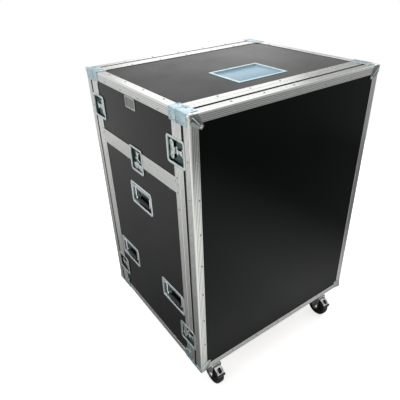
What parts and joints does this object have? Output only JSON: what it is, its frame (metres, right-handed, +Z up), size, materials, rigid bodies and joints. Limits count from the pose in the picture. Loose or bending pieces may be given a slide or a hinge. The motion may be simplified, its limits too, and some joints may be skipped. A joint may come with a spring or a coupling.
{
  "type": "flight case",
  "caption": "Wheeled flight case for a mixing desk, with a lift-off cover, two pull-off lids, recessed latches and sprung handles.",
  "frame": {"origin": "on the floor, below the middle of the case", "axes": "+Z up, -Y towards the front lid, +X to the right seen from the front"},
  "size_m": [0.918, 0.822, 1.3395],
  "materials": {
    "laminate": "black grained laminate on plywood",
    "plywood": "varnished birch plywood",
    "aluminium": "mill-finish extruded aluminium",
    "black_steel": "black powder coat",
    "zinc": "blue-white zinc plate",
    "steel": "bright zinc plate",
    "grip_rubber": "matte black rubber",
    "wheel_rubber": "satin black rubber"
  },
  "bodies": {
    "base": {"base_left_panel": "laminate", "base_right_panel": "laminate", "base_floor": "plywood", "base_frame": "aluminium", "castor_runner_left": "laminate", "castor_runner_right": "laminate", "mixer_tray": "plywood", "front_rack_frame": "black_steel", "rear_rack_frame": "black_steel", "castor_plate_left_front": "zinc", "castor_plate_left_rear": "zinc", "castor_plate_right_front": "zinc", "castor_plate_right_rear": "zinc", "handle_dish_left_centre": "zinc", "handle_dish_left_front": "zinc", "handle_dish_left_rear": "zinc", "handle_dish_right_centre": "zinc", "handle_dish_right_front": "zinc", "handle_dish_right_rear": "zinc", "latch_dish_left_front_low": "zinc", "latch_dish_left_rear_low": "zinc", "latch_dish_left_centre": "zinc", "latch_dish_right_front_low": "zinc", "latch_dish_right_rear_low": "zinc", "latch_dish_right_centre": "zinc"},
    "cover": {"cover_shell": "laminate", "cover_frame": "aluminium", "label_dish": "zinc", "latch_dish_left_front_high": "zinc", "latch_dish_left_rear_high": "zinc", "latch_dish_right_front_high": "zinc", "latch_dish_right_rear_high": "zinc"},
    "front_lid": {"front_lid_panel": "laminate", "front_lid_frame": "aluminium"},
    "rear_lid": {"rear_lid_panel": "laminate", "rear_lid_frame": "aluminium"},
    "fork_left_front": {"castor_fork_left_front": "zinc"},
    "wheel_left_front": {"castor_wheel_left_front": "wheel_rubber"},
    "fork_left_rear": {"castor_fork_left_rear": "zinc"},
    "wheel_left_rear": {"castor_wheel_left_rear": "wheel_rubber"},
    "fork_right_front": {"castor_fork_right_front": "zinc"},
    "wheel_right_front": {"castor_wheel_right_front": "wheel_rubber"},
    "fork_right_rear": {"castor_fork_right_rear": "zinc"},
    "wheel_right_rear": {"castor_wheel_right_rear": "wheel_rubber"},
    "handle_left_centre": {"handle_bail_left_centre": "grip_rubber"},
    "handle_left_front": {"handle_bail_left_front": "grip_rubber"},
    "handle_left_rear": {"handle_bail_left_rear": "grip_rubber"},
    "handle_right_centre": {"handle_bail_right_centre": "grip_rubber"},
    "handle_right_front": {"handle_bail_right_front": "grip_rubber"},
    "handle_right_rear": {"handle_bail_right_rear": "grip_rubber"},
    "butterfly_left_front_high": {"butterfly_left_front_high": "steel"},
    "butterfly_left_front_low": {"butterfly_left_front_low": "steel"},
    "butterfly_left_rear_high": {"butterfly_left_rear_high": "steel"},
    "butterfly_left_rear_low": {"butterfly_left_rear_low": "steel"},
    "butterfly_left_centre": {"butterfly_left_centre": "steel"},
    "butterfly_right_front_high": {"butterfly_right_front_high": "steel"},
    "butterfly_right_front_low": {"butterfly_right_front_low": "steel"},
    "butterfly_right_rear_high": {"butterfly_right_rear_high": "steel"},
    "butterfly_right_rear_low": {"butterfly_right_rear_low": "steel"},
    "butterfly_right_centre": {"butterfly_right_centre": "steel"}
  },
  "joints": [
    {"name": "front_lid_pull", "type": "slide", "parent": "base", "child": "front_lid", "axis": [0, -1, 0], "range_m": [0, 0.3]},
    {"name": "rear_lid_pull", "type": "slide", "parent": "base", "child": "rear_lid", "axis": [0, 1, 0], "range_m": [0, 0.3]},
    {"name": "cover_lift", "type": "slide", "parent": "base", "child": "cover", "axis": [0, 0, 1], "range_m": [0, 0.35]},
    {"name": "castor_left_front_swivel", "type": "hinge", "parent": "base", "child": "fork_left_front", "pos_m": [-0.3575, -0.32, 0.13], "axis": [0, 0, 1], "continuous": true},
    {"name": "wheel_left_front_roll", "type": "hinge", "parent": "fork_left_front", "child": "wheel_left_front", "pos_m": [-0.3575, -0.356, 0.055], "axis": [1, 0, 0], "continuous": true},
    {"name": "castor_left_rear_swivel", "type": "hinge", "parent": "base", "child": "fork_left_rear", "pos_m": [-0.3575, 0.32, 0.13], "axis": [0, 0, 1], "continuous": true},
    {"name": "wheel_left_rear_roll", "type": "hinge", "parent": "fork_left_rear", "child": "wheel_left_rear", "pos_m": [-0.3575, 0.356, 0.055], "axis": [1, 0, 0], "continuous": true},
    {"name": "castor_right_front_swivel", "type": "hinge", "parent": "base", "child": "fork_right_front", "pos_m": [0.3575, -0.32, 0.13], "axis": [0, 0, 1], "continuous": true},
    {"name": "wheel_right_front_roll", "type": "hinge", "parent": "fork_right_front", "child": "wheel_right_front", "pos_m": [0.3575, -0.356, 0.055], "axis": [1, 0, 0], "continuous": true},
    {"name": "castor_right_rear_swivel", "type": "hinge", "parent": "base", "child": "fork_right_rear", "pos_m": [0.3575, 0.32, 0.13], "axis": [0, 0, 1], "continuous": true},
    {"name": "wheel_right_rear_roll", "type": "hinge", "parent": "fork_right_rear", "child": "wheel_right_rear", "pos_m": [0.3575, 0.356, 0.055], "axis": [1, 0, 0], "continuous": true},
    {"name": "handle_left_centre_swing", "type": "hinge", "parent": "base", "child": "handle_left_centre", "pos_m": [-0.448, 0, 0.899], "axis": [0, 1, 0], "range_deg": [0, 90], "stiffness_Nm_per_rad": 0.3, "springref_deg": -17.19},
    {"name": "handle_left_front_swing", "type": "hinge", "parent": "base", "child": "handle_left_front", "pos_m": [-0.448, -0.199, 0.499], "axis": [0, 1, 0], "range_deg": [0, 90], "stiffness_Nm_per_rad": 0.3, "springref_deg": -17.19},
    {"name": "handle_left_rear_swing", "type": "hinge", "parent": "base", "child": "handle_left_rear", "pos_m": [-0.448, 0.199, 0.499], "axis": [0, 1, 0], "range_deg": [0, 90], "stiffness_Nm_per_rad": 0.3, "springref_deg": -17.19},
    {"name": "handle_right_centre_swing", "type": "hinge", "parent": "base", "child": "handle_right_centre", "pos_m": [0.448, 0, 0.899], "axis": [0, -1, 0], "range_deg": [0, 90], "stiffness_Nm_per_rad": 0.3, "springref_deg": -17.19},
    {"name": "handle_right_front_swing", "type": "hinge", "parent": "base", "child": "handle_right_front", "pos_m": [0.448, -0.199, 0.499], "axis": [0, -1, 0], "range_deg": [0, 90], "stiffness_Nm_per_rad": 0.3, "springref_deg": -17.19},
    {"name": "handle_right_rear_swing", "type": "hinge", "parent": "base", "child": "handle_right_rear", "pos_m": [0.448, 0.199, 0.499], "axis": [0, -1, 0], "range_deg": [0, 90], "stiffness_Nm_per_rad": 0.3, "springref_deg": -17.19},
    {"name": "latch_left_front_high_flip", "type": "hinge", "parent": "cover", "child": "butterfly_left_front_high", "pos_m": [-0.4525, -0.2925, 1.19], "axis": [0, 0, 1], "range_deg": [0, 90]},
    {"name": "latch_left_front_low_flip", "type": "hinge", "parent": "base", "child": "butterfly_left_front_low", "pos_m": [-0.4525, -0.2925, 0.325], "axis": [0, 0, 1], "range_deg": [0, 90]},
    {"name": "latch_left_rear_high_flip", "type": "hinge", "parent": "cover", "child": "butterfly_left_rear_high", "pos_m": [-0.4525, 0.2925, 1.19], "axis": [0, 0, -1], "range_deg": [0, 90]},
    {"name": "latch_left_rear_low_flip", "type": "hinge", "parent": "base", "child": "butterfly_left_rear_low", "pos_m": [-0.4525, 0.2925, 0.325], "axis": [0, 0, -1], "range_deg": [0, 90]},
    {"name": "latch_left_centre_flip", "type": "hinge", "parent": "base", "child": "butterfly_left_centre", "pos_m": [-0.4525, 0, 1.033], "axis": [0, 1, 0], "range_deg": [0, 90]},
    {"name": "latch_right_front_high_flip", "type": "hinge", "parent": "cover", "child": "butterfly_right_front_high", "pos_m": [0.4525, -0.2925, 1.19], "axis": [0, 0, -1], "range_deg": [0, 90]},
    {"name": "latch_right_front_low_flip", "type": "hinge", "parent": "base", "child": "butterfly_right_front_low", "pos_m": [0.4525, -0.2925, 0.325], "axis": [0, 0, -1], "range_deg": [0, 90]},
    {"name": "latch_right_rear_high_flip", "type": "hinge", "parent": "cover", "child": "butterfly_right_rear_high", "pos_m": [0.4525, 0.2925, 1.19], "axis": [0, 0, 1], "range_deg": [0, 90]},
    {"name": "latch_right_rear_low_flip", "type": "hinge", "parent": "base", "child": "butterfly_right_rear_low", "pos_m": [0.4525, 0.2925, 0.325], "axis": [0, 0, 1], "range_deg": [0, 90]},
    {"name": "latch_right_centre_flip", "type": "hinge", "parent": "base", "child": "butterfly_right_centre", "pos_m": [0.4525, 0, 1.033], "axis": [0, -1, 0], "range_deg": [0, 90]}
  ]
}
